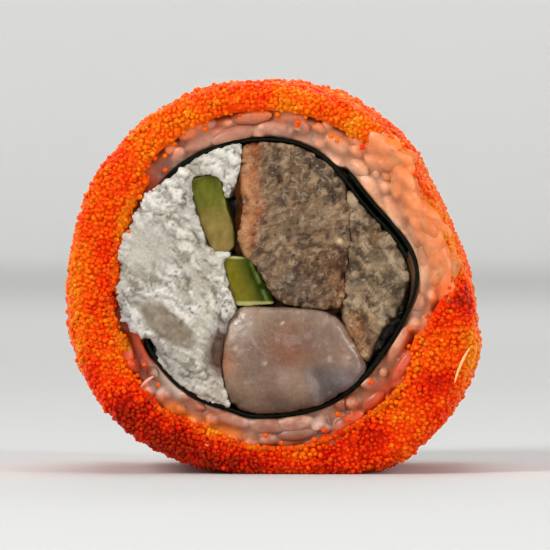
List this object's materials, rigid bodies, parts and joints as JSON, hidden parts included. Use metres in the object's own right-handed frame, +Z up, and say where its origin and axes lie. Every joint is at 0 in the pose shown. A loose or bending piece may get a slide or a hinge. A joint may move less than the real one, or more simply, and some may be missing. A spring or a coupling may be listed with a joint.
{
  "type": "sushi roll piece",
  "caption": "Slice of an inside-out sushi roll coated in orange fish roe, with rice, seaweed, cream cheese, cucumber, brown cooked fish and shrimp showing at both cut faces",
  "frame": {"origin": "Middle of the slice's footprint, on the surface it stands on.", "axes": "+Z up; the roll's axis runs along Y and the cut face shown in the picture looks along -Y; +X to the right of that face."},
  "size_m": [0.0492, 0.0352, 0.0464],
  "materials": {
    "roe_coat": "wet, glossy eggs, orange with deep red patches",
    "rice": "cooked, sticky, slightly translucent",
    "nori": "softened dark green-black sheet",
    "cream_cheese": "soft, crumbly where cut",
    "cucumber_a": "moist cut flesh with a dark green skin side",
    "cucumber_b": "moist cut flesh with a dark green skin side",
    "fish_a": "cooked, flaky, moist",
    "fish_b": "cooked, flaky, moist",
    "shrimp": "cooked, wet and glossy"
  },
  "bodies": {
    "root": {"roe_coat": "roe_coat", "rice": "rice", "nori": "nori", "cream_cheese": "cream_cheese", "cucumber_a": "cucumber_a", "cucumber_b": "cucumber_b", "fish_a": "fish_a", "fish_b": "fish_b", "shrimp": "shrimp"}
  },
  "joints": []
}
